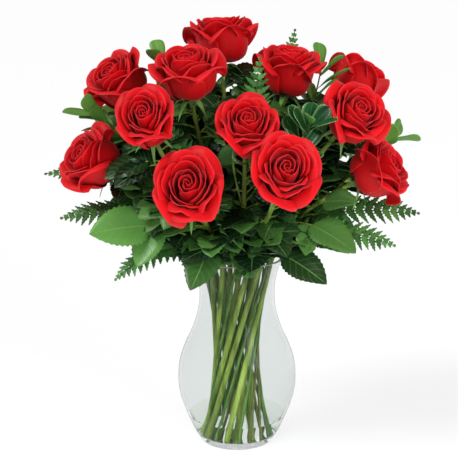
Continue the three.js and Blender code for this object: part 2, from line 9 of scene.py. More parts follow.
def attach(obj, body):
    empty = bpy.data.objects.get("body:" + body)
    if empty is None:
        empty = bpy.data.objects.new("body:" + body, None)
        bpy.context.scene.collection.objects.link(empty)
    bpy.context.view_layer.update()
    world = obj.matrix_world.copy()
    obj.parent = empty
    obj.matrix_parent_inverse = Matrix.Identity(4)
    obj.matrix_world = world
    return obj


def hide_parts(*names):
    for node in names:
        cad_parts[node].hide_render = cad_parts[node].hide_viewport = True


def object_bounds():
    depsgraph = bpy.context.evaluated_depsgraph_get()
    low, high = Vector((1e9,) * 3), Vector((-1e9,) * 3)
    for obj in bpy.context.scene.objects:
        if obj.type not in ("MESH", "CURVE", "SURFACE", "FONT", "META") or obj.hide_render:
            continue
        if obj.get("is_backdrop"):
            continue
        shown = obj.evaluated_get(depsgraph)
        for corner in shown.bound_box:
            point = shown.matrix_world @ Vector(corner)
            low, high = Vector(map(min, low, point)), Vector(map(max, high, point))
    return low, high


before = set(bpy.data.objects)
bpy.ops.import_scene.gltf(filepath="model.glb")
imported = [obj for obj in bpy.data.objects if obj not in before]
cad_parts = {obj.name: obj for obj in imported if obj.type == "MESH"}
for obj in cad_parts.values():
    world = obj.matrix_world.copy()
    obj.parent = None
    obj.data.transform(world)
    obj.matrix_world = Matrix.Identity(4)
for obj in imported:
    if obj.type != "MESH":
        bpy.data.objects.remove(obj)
cad_low, cad_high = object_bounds()
bpy.ops.object.select_all(action="DESELECT")
MM = 0.001

# --------------------
# The studio: a white table that runs out of sight, a soft key light high on the left, a weak fill
# on the right, a pale sky all round, and the camera a little above the roses, looking down.

CAMERA_PLACE = (-0.010, -1.600, 0.640)
CAMERA_DOWN, CAMERA_LENS, CAMERA_SENSOR, CAMERA_SIGHT = radians(12.895), 104.66, 36, 100
TABLE_SIZE, TABLE_GREY = 60.0, (160, 160, 160)
# How bright the sky and the table are in view, as light on the bunch, and in reflections.
SKY_BRIGHTNESS = (1.0, 0.52, 0.12)
TABLE_BRIGHTNESS = (0.66, 0.9, 0.2)
KEY_TURN = (radians(26), radians(-36), radians(-10))
KEY_ENERGY, KEY_SPREAD = 1.8, radians(24)
FILL_PLACE = (0.9, -1.3, 0.9)
FILL_TURN = (radians(68), 0, radians(35))
FILL_ENERGY, FILL_SIZE = 14, 0.7

scene = bpy.context.scene
scene.view_settings.view_transform = "Standard"


def placed(name, data):
    """A camera, a mesh or a curve put in the scene under a name."""
    piece = bpy.data.objects.new(name, data)
    scene.collection.objects.link(piece)
    return piece


camera = placed("camera", bpy.data.cameras.new("camera"))
camera.location = CAMERA_PLACE
camera.rotation_euler = (pi / 2 - CAMERA_DOWN, 0, 0)
camera.data.lens = CAMERA_LENS
camera.data.sensor_width = CAMERA_SENSOR
camera.data.clip_end = CAMERA_SIGHT
scene.camera = camera

world = bpy.data.worlds.new("studio")
scene.world = world
world.use_nodes = True
sky = world.node_tree.nodes["Background"]
sky.inputs["Color"].default_value = (1, 1, 1, 1)


def set_inputs(node, values):
    """Sets a shader node's inputs to plain values, or links them to other nodes' outputs."""
    for name, value in values.items():
        if isinstance(value, bpy.types.NodeSocket):
            node.id_data.links.new(value, node.inputs[name])
        else:
            node.inputs[name].default_value = value


def add_node(tree, kind, values, **settings):
    """Adds a shader node with its inputs and settings, and gives its outputs."""
    node = tree.nodes.new("ShaderNode" + kind)
    for setting, value in settings.items():
        setattr(node, setting, value)
    set_inputs(node, values)
    return node.outputs


def reckoned(tree, operation, *values):
    """What a Math node makes of its values."""
    return add_node(tree, "Math", dict(enumerate(values)), operation=operation)["Value"]


def by_ray(tree, brightness, strength):
    """Gives a strength one value in view and through glass, one as light, and one in reflections."""
    seen, lit, mirrored = brightness
    ray = add_node(tree, "LightPath", {})
    unlooked = {"Value": ray["Is Glossy Ray"], "To Min": lit, "To Max": mirrored}
    unseen = add_node(tree, "MapRange", unlooked)["Result"]
    looked_at = reckoned(tree, "MAXIMUM", ray["Is Camera Ray"], ray["Is Transmission Ray"])
    either = {"Value": looked_at, "To Min": unseen, "To Max": seen}
    tree.links.new(add_node(tree, "MapRange", either)["Result"], strength)


by_ray(world.node_tree, SKY_BRIGHTNESS, sky.inputs["Strength"])


def linear(colour):
    """A screen colour, 0 to 255, as the linear colour that shaders take."""
    parts = [c / 255 for c in colour]
    return tuple(c / 12.92 if c < 0.04045 else ((c + 0.055) / 1.055) ** 2.4 for c in parts) + (1,)


def new_material(name, roughness, colour=(255, 255, 255)):
    """A material, its node tree and its Principled shader."""
    material = bpy.data.materials.new(name)
    material.use_nodes = True
    shader = material.node_tree.nodes["Principled BSDF"]
    set_inputs(shader, {"Base Color": linear(colour), "Roughness": roughness})
    return material, material.node_tree, shader


bpy.ops.mesh.primitive_plane_add(size=TABLE_SIZE, location=(0, 0, 0))
table = bpy.context.object
table.name = "table"
table_white, table_tree, table_shader = new_material("table_white", 0.9, TABLE_GREY)
table_shader.inputs["Emission Color"].default_value = (1, 1, 1, 1)
by_ray(table_tree, TABLE_BRIGHTNESS, table_shader.inputs["Emission Strength"])
table.data.materials.append(table_white)
table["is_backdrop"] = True

bpy.ops.object.light_add(type="SUN", rotation=KEY_TURN)
key = bpy.context.object
key.name = "key"
key.data.energy = KEY_ENERGY
key.data.angle = KEY_SPREAD
bpy.ops.object.light_add(type="AREA", location=FILL_PLACE, rotation=FILL_TURN)
fill = bpy.context.object
fill.name = "fill"
fill.data.size = FILL_SIZE
fill.data.energy = FILL_ENERGY
fill.visible_glossy = False

# --------------------
# The vase: one piece of clear blown glass with a thick floor, a round belly, a drawn-in neck
# and a flared rim, whose faces are a paler, half-clear glass as a painted highlight. It stands on its flat
# foot.

# The outer wall, and the rounded edge of the foot below it, as (radius, height).
VASE_OUTLINE = [
    (44, 1.5), (52.5, 14), (64, 40), (72, 64), (74, 84), (72, 106), (65.5, 126),
    (55, 150), (48, 176), (47, 202), (50.5, 222), (56, 238),
]
FOOT_EDGE = [(36, 0), (40.5, 0.2), (43, 0.8)]
OUTLINE_STEPS, TURN_STEPS = 6, 96
VASE_WALL, VASE_FLOOR = 3.0, 10.0
# The round of the rim, as (share of the wall, height over it), and of the floor, as (inwards, height).
RIM_ROUND = [(0.85, 0.9), (0.4, 1.1)]
FLOOR_ROUND = [(1.5, 2.0), (5, 0.5), (12, 0)]
# It bends light less than real glass, as the stems run on almost straight in the photo.
GLASS_BENDS = 1.2
SAME_PLACE, SHARP_EDGE = 2e-5, radians(40)


def smooth_outline(points, steps):
    """A rounded line through the points, as a glassblower's profile runs."""
    line = []
    for i in range(len(points) - 1):
        a, b, c, d = (np.array(points[min(max(j, 0), len(points) - 1)]) for j in range(i - 1, i + 3))
        for t in np.arange(steps) / steps:
            line.append(b + 0.5 * t * (c - a + t * (2 * a - 5 * b + 4 * c - d + t * (3 * (b - c) + d - a))))
    return line + [np.array(points[-1], float)]


def select_only(pieces):
    """Selects these pieces and no others, with the first one active."""
    bpy.ops.object.select_all(action="DESELECT")
    for piece in pieces:
        piece.select_set(True)
    bpy.context.view_layer.objects.active = pieces[0]


def turned(name, profile):
    """A closed body turned about the vase's axis from (radius, height) points."""
    mesh = bpy.data.meshes.new(name)
    corners = [(r * MM, 0, z * MM) for r, z in profile]
    mesh.from_pydata(corners, [(i, i + 1) for i in range(len(profile) - 1)], [])
    piece = placed(name, mesh)
    select_only([piece])
    bpy.ops.object.mode_set(mode="EDIT")
    bpy.ops.mesh.select_all(action="SELECT")
    bpy.ops.mesh.spin(steps=TURN_STEPS, angle=2 * pi, center=(0, 0, 0), axis=(0, 0, 1))
    bpy.ops.mesh.select_all(action="SELECT")
    bpy.ops.mesh.remove_doubles(threshold=SAME_PLACE)
    bpy.ops.mesh.normals_make_consistent(inside=False)
    bpy.ops.object.mode_set(mode="OBJECT")
    bpy.ops.object.shade_smooth_by_angle(angle=SHARP_EDGE)
    return piece


glass_line = [tuple(point) for point in smooth_outline(VASE_OUTLINE, OUTLINE_STEPS)]
wall = [(r - VASE_WALL, z) for r, z in glass_line if z > VASE_FLOOR + 4]
floor_edge = wall[0][0]
rim_radius, rim_height = wall[-1]
rim = [(rim_radius + VASE_WALL * share, rim_height + high) for share, high in RIM_ROUND]
bowl = [(floor_edge - inwards, VASE_FLOOR + high) for inwards, high in FLOOR_ROUND]
outside = [(0, 0)] + FOOT_EDGE + glass_line
vase = turned("vase_glass", outside + rim + wall[::-1] + bowl + [(0, VASE_FLOOR)])


def clear(name, ior, tint, shadow, roughness=0.0, clearness=1.0):
    """Clear glass or water. Its shadow is let through, as the light that a real wall bends is not lost."""
    material, tree, shader = new_material(name, roughness, tint)
    set_inputs(shader, {"Transmission Weight": clearness, "IOR": ior})
    shadow_ray = add_node(tree, "LightPath", {})["Is Shadow Ray"]
    let_through = add_node(tree, "BsdfTransparent", {"Color": linear(shadow)})["BSDF"]
    either = {"Fac": shadow_ray, 1: shader.outputs["BSDF"], 2: let_through}
    mixed = add_node(tree, "MixShader", either)["Shader"]
    tree.links.new(mixed, tree.nodes["Material Output"].inputs["Surface"])
    return material


# The glass's grey-green tint is partly painted shade, standing in for the grey that reflections give the
# glass.
vase.data.materials.append(clear("clear_glass", GLASS_BENDS, (237, 240, 239), (235, 238, 239)))
# The rim's faces get a paler, half-clear, grey-white glass: a painted highlight along the rim.
vase.data.materials.append(clear("painted_highlight_rim", GLASS_BENDS, (214, 222, 219), (235, 238, 239), 0.2, 0.5))
for face in vase.data.polygons:
    if face.center.z > rim_height * MM:
        face.material_index = 1
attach(vase, "root")
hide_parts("vase")

# --------------------
# The water: still and clear, standing a finger deep over the glass floor and wetting the glass
# all round. It bends light less than real water, as the stems run on almost straight in the photo.

WATER_LEVEL, GAP, WETTING = 40.0, 0.35, 0.4
WATER_ROUND, WATER_BENDS = [(12, 0), (5.2, 0.5)], 1.06
water_foot = [(0, VASE_FLOOR + GAP)]
water_foot += [(floor_edge - inwards, VASE_FLOOR + GAP + high) for inwards, high in WATER_ROUND]
water_wall = [(r + WETTING, z) for r, z in wall if z < WATER_LEVEL]
water = turned("vase_water", water_foot + water_wall + [(0, water_wall[-1][1])])
water.data.materials.append(clear("clear_water", WATER_BENDS, (248, 251, 247), (250, 252, 251)))
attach(water, "root")
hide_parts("water")

# --------------------
# The rose heads: each is thirty petals in a spiral, the outer ones cupped with their edges
# rolled back, the inner ones wrapped round a tight heart. Each petal is one thin living blade.

# The middle of the head, the way it faces, its size across, up its face and from foot to top, its
# turn, and its stem's ring and place there.
Rose = namedtuple("Rose", "middle faces size turn ring place")
ROSES = [
    Rose((-19, 60, 503), (-0.05, 0.05, 1), (1.0, 1.0, 1.0), 20, "inner", 1),
    Rose((-58, -35, 470), (-0.12, -0.3, 1), (0.95, 0.95, 0.98), 55, "inner", 2),
    Rose((63, 30, 467), (0.15, -0.12, 1), (0.95, 0.95, 1.0), 5, "middle", 8),
    Rose((-145, 25, 453), (-0.6, -0.35, 0.75), (0.95, 0.95, 0.95), 40, "middle", 2),
    Rose((-103, -108, 424), (-0.2, -0.7, 0.7), (0.75, 0.92, 0.86), 15, "outer", 7),
    Rose((-172, -45, 367), (-0.75, -0.35, 0.55), (0.94, 0.94, 0.94), 70, "outer", 5),
    Rose((-54, -145, 352), (-0.1, -0.8, 0.6), (0.88, 1.02, 0.92), 10, "outer", 8),
    Rose((11, -85, 411), (0.05, -0.6, 0.8), (0.82, 0.94, 0.9), 35, "middle", 5),
    Rose((53, -135, 369), (0.1, -0.8, 0.58), (0.84, 0.98, 0.9), 60, "outer", 10),
    Rose((136, -60, 422), (0.45, -0.65, 0.65), (0.87, 0.92, 0.92), 25, "outer", 11),
    Rose((151, 85, 447), (0.5, 0.4, 0.8), (0.87, 0.87, 0.9), 80, "middle", 9),
    Rose((168, -35, 355), (0.8, -0.25, 0.5), (0.96, 0.96, 0.96), 45, "outer", 13),
]
HEAD_MIDDLE = 31
# Rings of petals from the outside in: how many, half-width in degrees, cup line as (radius, height)
# control points, rim length, how far its middle and its corners roll back in degrees, how much
# lower the corners start to roll, lap, lean outwards.
PETAL_RINGS = [
    (5, 52, ((5, 3), (38, 0), (28, 28), (32, 43)), 15, 80, 165, 0.30, 2.4, 4),
    (5, 50, ((4, 5), (34, 2), (25, 30), (28, 47)), 13, 55, 140, 0.24, 2.2, 3),
    (4, 58, ((3, 7), (29, 4), (23, 33), (25, 50)), 10, 30, 100, 0.15, 2.0, 2),
    (3, 70, ((2, 9), (25, 6), (20, 36), (21.5, 53)), 7, 10, 60, 0.08, 1.8, 1),
]
RING_TURN, PETAL_STRAY = 47, 5
# The heart: petals wound one round the next, each a golden turn on and closer in. The half-width,
# rim length, roll of the middle and of the corners, lap and top of its first petal and its last.
HEART_PETALS, GOLDEN_TURN = 13, 137.5
HEART_FIRST = np.array((66, 6.0, -6, 30, 1.7, 53.5))
HEART_LAST = np.array((116, 3.5, -26, -10, 1.0, 50.5))
HEART_RADII, HEART_CLOSES, HEART_CORNERS = (19.0, 2.2), 0.8, 0.04
# A petal's outline: its width at the foot, where it is full, its narrower top and round corners.
FOOT_WIDTH, FULL_AT, TOP_NARROWER, CORNER_ROUND = 0.3, 0.3, 0.22, 0.26
# What chance gives a petal: its size, its curl, how unlike its two corners are, and its lean.
PETAL_SIZES, PETAL_CURLS, PETAL_UNEVEN, PETAL_LEANS = (0.95, 1.03), (0.6, 1.15), 0.35, (0.4, 1.7)
# The waves of its edge: how high, how many, and how late along the petal they rise.
PETAL_WAVES = [(0.9, 3.0, 1), (0.7, 7.0, 4), (0.35, 13.0, 6)]
CREASE_DEPTH, CREASE_WIDTH = 1.1, 0.13
# The share of a petal that is its cup, how its rim rolls past that, and the ring it leans about.
CUP_SHARE, ROLL_LENGTH, ROLL_STEPS = 0.7, 7.0, 10
LEAN_RING, LEAN_DROP = 4, 0.6
PETAL_THICK, PETAL_HEIGHT = 0.5, 0.95
PETAL_REDS = [(0.0, (178, 4, 14)), (0.45, (200, 4, 14)), (0.94, (222, 10, 22)), (1.0, (232, 36, 48))]
PETAL_MOTTLE, MOTTLE_SCALE = (226, 190, 190), 60
PETAL_VEINS, PETAL_RELIEF = (70, 4, 1), (0.25, 0.0006)
PETAL_SHEEN = (255, 120, 125)
Blank = namedtuple("Blank", "piece u v")


def blank(name, across, along, *materials):
    """A flat grid one unit wide and long, the start of every petal and leaf, with its own UV map."""
    bpy.ops.mesh.primitive_grid_add(x_subdivisions=across, y_subdivisions=along, size=1)
    piece = bpy.context.object
    piece.name = name
    for material in materials:
        piece.data.materials.append(material)
    places = np.empty(len(piece.data.vertices) * 3)
    piece.data.vertices.foreach_get("co", places)
    places = places.reshape(-1, 3)
    return Blank(piece, places[:, 0] * 2, places[:, 1] + 0.5)


def shaped(flat, points):
    """A copy of a blank with its own mesh, its points moved to their places in millimetres."""
    mesh = flat.piece.data.copy()
    mesh.vertices.foreach_set("co", (points * MM).astype(np.float32).ravel())
    return placed(flat.piece.name, mesh)


def join(name, parts):
    """The parts made one mesh, shaded smooth."""
    select_only(parts)
    bpy.ops.object.join()
    piece = bpy.context.object
    piece.name = name
    piece.data.name = name
    bpy.ops.object.shade_smooth()
    return piece


def thickened(name, blades, thickness, underside=0):
    """Blades made one mesh and given their thickness, half of it on each side."""
    piece = join(name, blades)
    skin = piece.modifiers.new("thickness", "SOLIDIFY")
    skin.thickness = thickness * MM
    skin.offset = 0
    skin.material_offset = underside
    bpy.ops.object.modifier_apply(modifier=skin.name)
    bpy.ops.object.shade_smooth()
    return piece


def bezier(points, t):
    """A cubic curve's place at t, for an array of t, one column for each axis."""
    t = np.asarray(t, float)
    weights = ((1 - t) ** 3, 3 * t * (1 - t) ** 2, 3 * t * t * (1 - t), t ** 3)
    return sum(w[..., None] * np.asarray(p, float) for w, p in zip(weights, points))


def petal_points(ring, bearing, u, v, chance):
    """A petal in its head's frame: u across it from -1 to 1, v along it from 0 to 1."""
    half, cup, rim, roll_middle, roll_corner, fold, lap, lean = ring
    size = chance.uniform(*PETAL_SIZES)
    curl = chance.uniform(*PETAL_CURLS)
    favoured = chance.uniform(-PETAL_UNEVEN, PETAL_UNEVEN)
    width = half * (FOOT_WIDTH + (1 - FOOT_WIDTH) * np.clip(v / FULL_AT, 0, 1) ** 0.8)
    width *= 1 - TOP_NARROWER * v ** 5
    along = v * (1 - CORNER_ROUND * np.abs(u) ** 3.2) * size
    corner = np.abs(u) ** 1.6 * (1 + favoured * np.sign(u))
    last = 1 - fold * corner
    cup_at = np.clip(along / CUP_SHARE, 0, last)
    line = bezier(cup, cup_at)
    ahead = bezier(cup, cup_at + 0.001) - line
    slope = np.arctan2(ahead[:, 1], ahead[:, 0])
    past = np.clip(along - CUP_SHARE * last, 0, 1) / (1 - CUP_SHARE) * rim
    roll = np.radians(roll_middle + (roll_corner - roll_middle) * np.clip(corner, 0, 1)) * curl
    radius, height = line[:, 0], line[:, 1]
    for step in range(ROLL_STEPS):
        done = (step + 0.5) / ROLL_STEPS * past
        end = slope - roll * (1 - np.exp(-done / ROLL_LENGTH))
        radius = radius + np.cos(end) * past / ROLL_STEPS
        height = height + np.sin(end) * past / ROLL_STEPS
    starts = chance.uniform(0, 2 * pi, len(PETAL_WAVES))
    out = lap * u
    firm = min(1, rim / 10)
    for (high, count, late), start in zip(PETAL_WAVES, starts):
        out = out + high * np.sin(count * u + start) * v ** late * firm
    crease = np.exp(-((u - favoured) / CREASE_WIDTH) ** 2) * np.sin(pi * v)
    out = out - CREASE_DEPTH * crease * firm
    radius = radius + out * np.sin(end)
    height = height - out * np.cos(end)
    tilt = radians(lean * chance.uniform(*PETAL_LEANS))
    rise, reach = height - LEAN_RING, radius - LEAN_RING
    radius = LEAN_RING + reach * cos(tilt) + rise * sin(tilt) * np.clip(v * 2, 0, 1)
    height = LEAN_RING + rise * cos(tilt) - reach * sin(tilt) * v * LEAN_DROP
    angle = radians(bearing) + np.radians(u * width)
    return np.stack([radius * np.cos(angle), radius * np.sin(angle), height], axis=1)


def head_petals(turn, chance):
    """Every petal of a head as its ring and its bearing, from the outside in."""
    for index, (count, *ring) in enumerate(PETAL_RINGS):
        for petal in range(count):
            stray = chance.uniform(-PETAL_STRAY, PETAL_STRAY)
            yield ring, petal * 360 / count + turn + RING_TURN * index + ring[0] + stray
    for petal in range(HEART_PETALS):
        share = petal / (HEART_PETALS - 1)
        outermost, innermost = HEART_RADII
        radius = outermost + (innermost - outermost) * share ** HEART_CLOSES
        half, rim, roll_middle, roll_corner, lap, top = HEART_FIRST + (HEART_LAST - HEART_FIRST) * share
        cup = ((1.5, 10), (radius * 1.25 + 1, 8), (radius * 1.12, top - 14), (radius, top))
        ring = (half, cup, rim, roll_middle, roll_corner, HEART_CORNERS, lap, 0)
        yield ring, turn + GOLDEN_TURN * petal


def shades(tree, value, stops):
    """A colour that runs through stops, each a place from 0 to 1 and a screen colour."""
    ramp = tree.nodes.new("ShaderNodeValToRGB")
    elements = ramp.color_ramp.elements
    for end in (0, -1):
        at, colour = stops[end]
        elements[end].position = at
        elements[end].color = linear(colour)
    for at, colour in stops[1:-1]:
        elements.new(at).color = linear(colour)
    tree.links.new(value, ramp.inputs["Fac"])
    return ramp.outputs["Color"]


def mixed_colour(tree, factor, under, over, blend="MIX"):
    """One colour laid over another by a factor."""
    layers = {"Factor": factor, "A": under, "B": over}
    return add_node(tree, "Mix", layers, data_type="RGBA", blend_type=blend)["Result"]


def soft_noise(tree, place, finer, detail):
    """Soft noise over a place, drawn so much finer along each axis."""
    drawn = add_node(tree, "Mapping", {"Vector": place, "Scale": finer})["Vector"]
    return add_node(tree, "TexNoise", {"Vector": drawn, "Scale": 1.0, "Detail": detail})["Fac"]


def relief(tree, height, strength_and_depth, sunk=False):
    """The way a surface faces when it is raised, or sunk, by a height."""
    strength, depth = strength_and_depth
    bumps = {"Height": height, "Strength": strength, "Distance": depth}
    return add_node(tree, "Bump", bumps, invert=sunk)["Normal"]


def petal_red():
    """Velvet red, darker down in the cup, a shade pinker along the rolled edge, faintly veined."""
    material, tree, shader = new_material("petal_red", 0.52)
    place = add_node(tree, "UVMap", {})["UV"]
    along = add_node(tree, "SeparateXYZ", {"Vector": place})["Y"]
    on_head = add_node(tree, "TexCoord", {})["Object"]
    cloud = add_node(tree, "TexNoise", {"Vector": on_head, "Scale": MOTTLE_SCALE, "Detail": 3})["Fac"]
    reds = shades(tree, along, PETAL_REDS)
    set_inputs(shader, {
        "Base Color": mixed_colour(tree, cloud, reds, linear(PETAL_MOTTLE), "MULTIPLY"),
        "Normal": relief(tree, soft_noise(tree, place, PETAL_VEINS, 4), PETAL_RELIEF),
        "Sheen Weight": 0.38, "Sheen Roughness": 0.45, "Sheen Tint": linear(PETAL_SHEEN),
        "Specular IOR Level": 0.22,
    })
    return material


def head_place(rose):
    """The foot of a head, the way it faces, and the turn from upright to there."""
    faces = Vector(rose.faces).normalized()
    foot = Vector(rose.middle) - faces * HEAD_MIDDLE * rose.size[2]
    return foot, faces, Vector((0, 0, 1)).rotation_difference(faces)


petal_blank = blank("petal", 18, 14, petal_red())
for number, rose in enumerate(ROSES, 1):
    foot, _, turn = head_place(rose)
    rows = np.array(turn.to_matrix()) @ np.diag(rose.size) @ np.diag((1, 1, PETAL_HEIGHT))
    chance = np.random.default_rng(number)
    petals = []
    for ring, bearing in head_petals(rose.turn, chance):
        points = petal_points(ring, bearing, petal_blank.u, petal_blank.v, chance)
        petals.append(shaped(petal_blank, points @ rows.T + np.array(foot)))
    head = thickened(f"rose_head_{number:02d}", petals, PETAL_THICK)
    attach(head, "root")
    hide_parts(f"rose_{number:02d}")
bpy.data.objects.remove(petal_blank.piece)

# --------------------
# The rose stems: each is one green cane, cut square at its foot, with the green hip and its five
# sepals under the head and the stem's own toothed leaves, thin and a little folded along the midrib.

# Places round each ring, radius at the foot, at the waist of the bundle and at the neck of the
# vase, and the bearing of the first place.
RINGS = {"outer": (17, 40.5, 26.5, 40, 74), "middle": (10, 31, 16.5, 30, 95), "inner": (5, 20, 7, 19, 99)}
NECK_HEIGHT, STRAIGHT_STEPS = 225.0, 10
# How thick a cane is, how much thinner at each spot, and how many points of its solid test its bow.
ROSE_CANE, CANE_THINS, ROSE_STEPS = 3.7, 0.012, 6
# The bows and the lifts that it may have, and how hard the two ends of a bow pull.
BOWS = (0, 8, -8, 16, -16, 26, -26, 38, -38, 50, -50)
LIFTS = (0, 14, -14, 30)
BOW_PULL, BOW_LATE = 0.38, 0.6
UP = Vector((0, 0, 1))
# The hip as (height under the head, radius), its length, and how far the cane runs into it.
HIP = [(-13.2, 3.2), (-9, 4.0), (-7, 5.2), (-4, 5.8), (-1, 5.4)]
HIP_LENGTH, CANE_INTO_HIP = 12.0, 0.6
# A sepal's midrib: how far out, how high, and which share of its droop, then how it hangs.
SEPAL_SPINE = [(5, -3, 0), (13, 1, 0), (21, 0, 0.3), (31, 0, 1)]
SEPALS, SEPAL_HALF, SEPAL_FOLD = 5, 4.4, 0.3
SEPAL_DROOP, SEPAL_DROOPS, SEPAL_HANG = 12.0, (0.2, 1.3), 0.9
# The leaves that show: whose stem, how far along its bow, where the tip hangs, width, the way it
# faces, and its tone from dark to light.
ROSE_LEAVES = [
    (7, 0.22, (-172, -98, 290), 52, (-0.15, -0.85, 0.5), 1.0),
    (5, 0.2, (-55, -112, 226), 44, (-0.1, -1, 0.4), 0.35),
    (9, 0.2, (104, -100, 230), 42, (0.3, -0.9, 0.5), 0.12),
    (10, 0.3, (138, -92, 266), 44, (0.2, -0.8, 0.7), 0.75),
    (12, 0.45, (140, -72, 322), 34, (0.2, -0.8, 0.7), 0.6),
    (6, 0.5, (-134, -85, 350), 36, (-0.3, -0.8, 0.6), 0.4),
    (8, 0.45, (-4, -118, 392), 34, (0, -0.9, 0.5), 0.4),
    (4, 0.3, (-120, 110, 330), 42, (-0.4, 0.6, 0.8), 0.8),
    (11, 0.35, (165, 95, 350), 42, (0.4, 0.5, 0.8), 0.7),
    (1, 0.3, (-30, 130, 350), 42, (0, 0.8, 0.7), 0.5),
    (3, 0.4, (60, 125, 330), 42, (0.2, 0.8, 0.7), 0.9),
]
LEAF_TURNS = (0, 25, -25, 50, -50, 80, -80)
LEAF_SIZES = (1, 0.75, 0.55)
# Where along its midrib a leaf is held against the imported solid.
LEAF_TESTS = np.array((0.42, 0.58, 0.74, 1.0))
LEAF_RISE, LEAF_THICK, LEAF_FOLD, LEAF_RIPPLE = 0.25, 0.35, 0.22, 0.05
TEETH, TOOTH_DEPTH, LEAFLET_SHAPE = 12, 0.18, 1.45
# The pair of leaflets behind the end one, as shares of its width, and how they stand off the stalk.
PAIR_REACHES, PAIR_WIDTH, PAIR_AHEAD, PAIR_BOW, PAIR_TONE = (0.95, 1.15), 0.36, 0.5, 0.12, 0.85
PACKED_STALK, SMALL_STALK = 1.3, 1.2
# Half the width of the midrib's line, sharp and faded, how pale it is, and the same for side veins.
MIDRIB_LINE, MIDRIB_PALE = (0.004, 0.024), 0.8
VEIN_WIDTH, VEIN_PALE, VEIN_SLANT = 0.1, 0.22, 0.55
RIB_RELIEF, STEM_STREAKS = (0.5, 0.0008), (90, 90, 9)
# How far leaves keep off the heads, the dome that they stay within, and how they keep off the vase.
HEAD_REACH = 38
DOME, DOME_HEIGHT = (205, 155, 178), 325
LEAVES_FROM, ROUND_VASE = 246, 105
# The roses whose upper stems and sepals show, and how far leaves keep from them as the camera looks.
SHOWN_STEMS = (2, 5, 7, 8, 9, 10, 12)
SHOWN_PART, SEPAL_DROPS = np.linspace(0.55, 0.97, 9), (4, 14, 24, 34)
STEM_CLEAR, IN_FRONT, VIEW_SLOPE = 7, 2, 0.23
# The small leaves that fill the bunch: how many, where on the bow, their size, their way and tries.
LOWER_LEAVES, UPPER_LEAVES, UPPER_ON_SHOWN = 34, 26, 5
LOWER_PART, UPPER_PART = (0.03, 0.95), (0.72, 0.98)
SMALL_LENGTHS, UPPER_LENGTH, SMALL_WIDTH, SMALL_RISE = (58, 88), 0.6, 0.52, 0.2
SMALL_TURN, SMALL_CLIMBS = 150, (-0.3, 0.7)
TRIES, TRIED_SHORTER = 24, 0.45


def outside_of(node):
    """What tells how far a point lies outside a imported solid, in millimetres."""
    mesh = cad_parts[node].data
    corners = [v.co / MM for v in mesh.vertices]
    tree = BVHTree.FromPolygons(corners, [tuple(p.vertices) for p in mesh.polygons])

    def outside(point):
        near, normal, _, away = tree.find_nearest(Vector(point))
        return away if (Vector(point) - near).dot(normal) > 0 else -away

    return outside


class Cane:
    """A cane's middle line: straight from its foot to the neck of the vase, then one bow to its end."""

    def __init__(self, ring, place, radius, end, end_way, bow, lift):
        places, foot_radius, waist, neck_radius, first = RINGS[ring]
        twist = acos(waist / foot_radius) + acos(waist / neck_radius)
        bearing = radians(first + place / places * 360)
        self.neck = Vector((neck_radius * cos(bearing), neck_radius * sin(bearing), NECK_HEIGHT))
        bearing -= twist
        self.foot = Vector((foot_radius * cos(bearing), foot_radius * sin(bearing), VASE_FLOOR))
        self.foot.z += GAP + radius * (self.neck - self.foot).to_2d().length / NECK_HEIGHT
        lean, reach = (self.neck - self.foot).normalized(), (end - self.neck).length
        aside = (end - self.neck).cross(UP).normalized()
        self.pull = [
            self.neck, self.neck + lean * reach * BOW_PULL + aside * bow,
            end - end_way * reach * BOW_PULL + aside * bow * BOW_LATE + UP * lift, end,
        ]

    def at(self, t):
        """The place at t along the bow."""
        return Vector(bezier(self.pull, t))

    def along(self, t):
        """The way the bow runs at t."""
        low = min(t, 0.99)
        return (self.at(low + 0.01) - self.at(low)).normalized()

    def length(self):
        """How long the bow is."""
        spots = [self.at(i / 40) for i in range(41)]
        return sum((b - a).length for a, b in zip(spots, spots[1:]))

    def spots(self, steps=16, last=1.0):
        """Points from its foot to its end, so many steps of them along the bow."""
        straight = [self.foot.lerp(self.neck, i / STRAIGHT_STEPS) for i in range(STRAIGHT_STEPS)]
        return straight + [self.at(min(i / steps, last)) for i in range(steps + 1)]


def lay_cane(node, ring, place, radius, steps, end, end_way, blade=0):
    """The cane as it lies in the bunch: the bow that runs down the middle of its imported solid."""
    outside = outside_of(node)
    ways = [Cane(ring, place, radius, end, end_way, bow, lift) for lift in LIFTS for bow in BOWS]

    def misfit(cane):
        last = blade_start(cane, blade) + 0.04 if blade else 1.0
        return sum(outside(cane.at(last * i / (steps - 1))) for i in range(1, steps - 1))

    return min(ways, key=misfit)


def blade_start(cane, blade):
    """Where on a cane's bow a frond's blade of this length starts."""
    return max(0.15, 1 - blade / cane.length())


def drawn_tube(name, points, radii, material, roundness=3):
    """A round stem drawn along points, each with its own radius, and closed at both ends."""
    curve = bpy.data.curves.new(name, "CURVE")
    curve.dimensions = "3D"
    curve.bevel_depth = MM
    curve.bevel_resolution = roundness
    curve.use_fill_caps = True
    spline = curve.splines.new("POLY")
    spline.points.add(len(points) - 1)
    for spot, point, radius in zip(spline.points, points, radii):
        spot.co = (*(Vector(point) * MM), 1)
        spot.radius = radius
    select_only([placed(name, curve)])
    bpy.ops.object.convert(target="MESH")
    piece = bpy.context.object
    piece.data.materials.clear()
    piece.data.materials.append(material)
    return piece


def leaf_points(flat, midrib, face, half_width, outline, chance, fold=LEAF_FOLD):
    """A leaf on its bowed midrib: folded along it, and waved a little towards its edge."""
    _, u, v = flat
    spots = bezier(midrib, v)
    ahead = bezier(midrib, v + 0.01) - bezier(midrib, v - 0.01)
    along = ahead / np.linalg.norm(ahead, axis=1)[:, None]
    side = np.cross(along, np.array(face, float))
    side /= np.linalg.norm(side, axis=1)[:, None]
    up = np.cross(side, along)
    width = half_width * outline(v, u)
    wave = np.sin(9 * v + chance.uniform(0, 6) + 2 * np.sign(u)) * LEAF_RIPPLE * half_width * u * u
    lift = fold * np.abs(u) * width + wave
    return spots + side * (u * width)[:, None] + up * lift[:, None]


